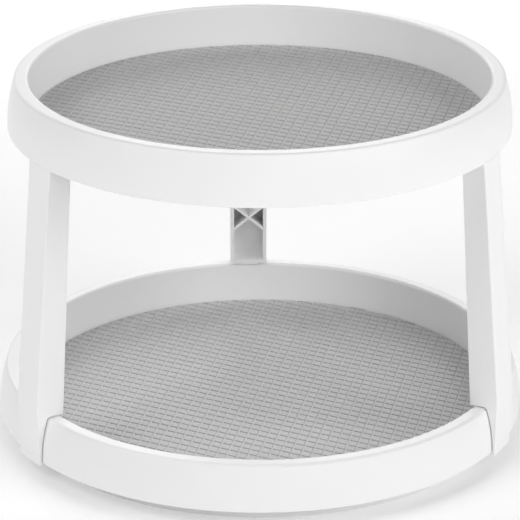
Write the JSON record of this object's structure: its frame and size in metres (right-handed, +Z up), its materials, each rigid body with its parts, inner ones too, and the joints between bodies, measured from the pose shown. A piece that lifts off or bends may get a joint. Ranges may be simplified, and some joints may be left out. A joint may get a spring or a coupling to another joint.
{
  "type": "lazy susan turntable",
  "caption": "Two-tier kitchen turntable: shallow round trays with grey non-skid mats, the smaller held above the larger on slanted legs, spinning on a ball-bearing base.",
  "frame": {"origin": "on the spin axis, at the level of the table the feet stand on", "axes": "+Z up along the spin axis; the rear leg stands on +Y, so the pictured front faces -Y"},
  "size_m": [0.3068, 0.3094, 0.2113],
  "materials": {
    "white_plastic": "satin",
    "mat_elastomer": "matte, embossed",
    "foot_rubber": "matte",
    "ball_steel": "polished",
    "cage_plastic": "natural",
    "pivot_steel": "zinc plated"
  },
  "bodies": {
    "base": {"base_plate": "white_plastic", "foot_1": "foot_rubber", "foot_2": "foot_rubber", "foot_3": "foot_rubber", "foot_4": "foot_rubber", "foot_5": "foot_rubber", "foot_6": "foot_rubber"},
    "cage": {"ball_cage": "cage_plastic"},
    "turntable": {"lower_tray": "white_plastic", "pivot_washer": "pivot_steel", "pivot_screw": "pivot_steel", "lower_mat": "mat_elastomer", "rear_leg": "white_plastic", "front_left_leg": "white_plastic", "front_right_leg": "white_plastic", "upper_tray": "white_plastic", "upper_mat": "mat_elastomer"},
    "ball_01": {"ball_01": "ball_steel"},
    "ball_02": {"ball_02": "ball_steel"},
    "ball_03": {"ball_03": "ball_steel"},
    "ball_04": {"ball_04": "ball_steel"},
    "ball_05": {"ball_05": "ball_steel"},
    "ball_06": {"ball_06": "ball_steel"},
    "ball_07": {"ball_07": "ball_steel"},
    "ball_08": {"ball_08": "ball_steel"},
    "ball_09": {"ball_09": "ball_steel"},
    "ball_10": {"ball_10": "ball_steel"},
    "ball_11": {"ball_11": "ball_steel"},
    "ball_12": {"ball_12": "ball_steel"}
  },
  "joints": [
    {"name": "turntable_spin", "type": "hinge", "parent": "base", "child": "turntable", "pos_m": [0, 0, 0.0055], "axis": [0, 0, 1], "continuous": true},
    {"name": "cage_spin", "type": "hinge", "parent": "base", "child": "cage", "pos_m": [0, 0, 0.0055], "axis": [0, 0, 1], "continuous": true},
    {"name": "ball_01_roll", "type": "hinge", "parent": "cage", "child": "ball_01", "pos_m": [0.105, 0, 0.00596], "axis": [-1, 0, 0], "continuous": true},
    {"name": "ball_02_roll", "type": "hinge", "parent": "cage", "child": "ball_02", "pos_m": [0.09093, 0.0525, 0.00596], "axis": [-0.866, -0.5, 0], "continuous": true},
    {"name": "ball_03_roll", "type": "hinge", "parent": "cage", "child": "ball_03", "pos_m": [0.0525, 0.09093, 0.00596], "axis": [-0.5, -0.866, 0], "continuous": true},
    {"name": "ball_04_roll", "type": "hinge", "parent": "cage", "child": "ball_04", "pos_m": [0, 0.105, 0.00596], "axis": [0, -1, 0], "continuous": true},
    {"name": "ball_05_roll", "type": "hinge", "parent": "cage", "child": "ball_05", "pos_m": [-0.0525, 0.09093, 0.00596], "axis": [0.5, -0.866, 0], "continuous": true},
    {"name": "ball_06_roll", "type": "hinge", "parent": "cage", "child": "ball_06", "pos_m": [-0.09093, 0.0525, 0.00596], "axis": [0.866, -0.5, 0], "continuous": true},
    {"name": "ball_07_roll", "type": "hinge", "parent": "cage", "child": "ball_07", "pos_m": [-0.105, 0, 0.00596], "axis": [1, 0, 0], "continuous": true},
    {"name": "ball_08_roll", "type": "hinge", "parent": "cage", "child": "ball_08", "pos_m": [-0.09093, -0.0525, 0.00596], "axis": [0.866, 0.5, 0], "continuous": true},
    {"name": "ball_09_roll", "type": "hinge", "parent": "cage", "child": "ball_09", "pos_m": [-0.0525, -0.09093, 0.00596], "axis": [0.5, 0.866, 0], "continuous": true},
    {"name": "ball_10_roll", "type": "hinge", "parent": "cage", "child": "ball_10", "pos_m": [0, -0.105, 0.00596], "axis": [0, 1, 0], "continuous": true},
    {"name": "ball_11_roll", "type": "hinge", "parent": "cage", "child": "ball_11", "pos_m": [0.0525, -0.09093, 0.00596], "axis": [-0.5, 0.866, 0], "continuous": true},
    {"name": "ball_12_roll", "type": "hinge", "parent": "cage", "child": "ball_12", "pos_m": [0.09093, -0.0525, 0.00596], "axis": [-0.866, 0.5, 0], "continuous": true}
  ],
  "couplings": [
    {"joint": "cage_spin", "follows": "turntable_spin", "ratio": 0.5},
    {"joint": "ball_01_roll", "follows": "turntable_spin", "ratio": 21},
    {"joint": "ball_02_roll", "follows": "turntable_spin", "ratio": 21},
    {"joint": "ball_03_roll", "follows": "turntable_spin", "ratio": 21},
    {"joint": "ball_04_roll", "follows": "turntable_spin", "ratio": 21},
    {"joint": "ball_05_roll", "follows": "turntable_spin", "ratio": 21},
    {"joint": "ball_06_roll", "follows": "turntable_spin", "ratio": 21},
    {"joint": "ball_07_roll", "follows": "turntable_spin", "ratio": 21},
    {"joint": "ball_08_roll", "follows": "turntable_spin", "ratio": 21},
    {"joint": "ball_09_roll", "follows": "turntable_spin", "ratio": 21},
    {"joint": "ball_10_roll", "follows": "turntable_spin", "ratio": 21},
    {"joint": "ball_11_roll", "follows": "turntable_spin", "ratio": 21},
    {"joint": "ball_12_roll", "follows": "turntable_spin", "ratio": 21}
  ]
}
